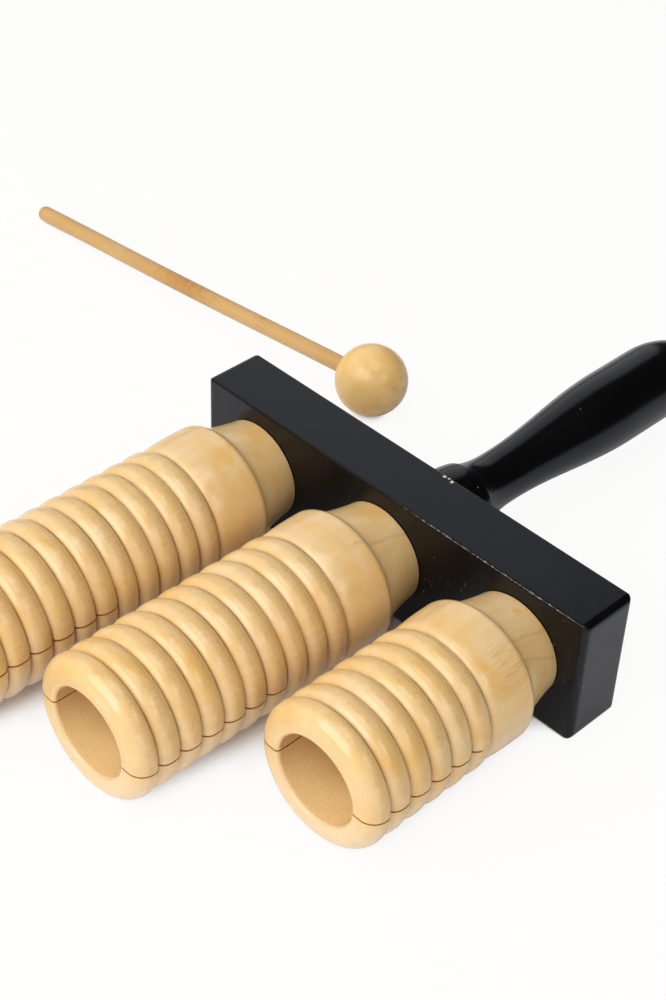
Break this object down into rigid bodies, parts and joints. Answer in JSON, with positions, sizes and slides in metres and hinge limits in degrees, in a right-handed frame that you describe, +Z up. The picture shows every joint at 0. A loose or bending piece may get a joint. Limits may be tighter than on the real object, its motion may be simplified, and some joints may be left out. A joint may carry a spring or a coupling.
{
  "type": "agogo block",
  "caption": "Wooden agogo block: ringed, slit hollow tubes of stepped length stand off a black crossbar with a turned handle, with a ball-headed mallet.",
  "frame": {"origin": "centre of the crossbar's underside", "axes": "+X along the bar towards the short tube, +Y towards the handle, so the tubes' mouths face -Y, and +Z up"},
  "size_m": [0.3735, 0.3388, 0.0512],
  "materials": {
    "black_lacquer": "black gloss lacquer",
    "pale_wood": "satin clear lacquer",
    "golden_wood": "satin clear lacquer",
    "dowel_wood": "bare"
  },
  "bodies": {
    "block": {"crossbar": "black_lacquer", "handle": "black_lacquer", "long_tube": "pale_wood", "middle_tube": "pale_wood", "short_tube": "pale_wood", "long_tube_dowel": "dowel_wood", "centre_dowel": "dowel_wood", "short_tube_dowel": "dowel_wood"},
    "mallet": {"mallet_stick": "golden_wood", "mallet_head": "golden_wood"}
  },
  "joints": [
    {"name": "mallet_lift", "type": "slide", "parent": "block", "child": "mallet", "axis": [0, 0, 1], "range_m": [0, 0.12]}
  ]
}
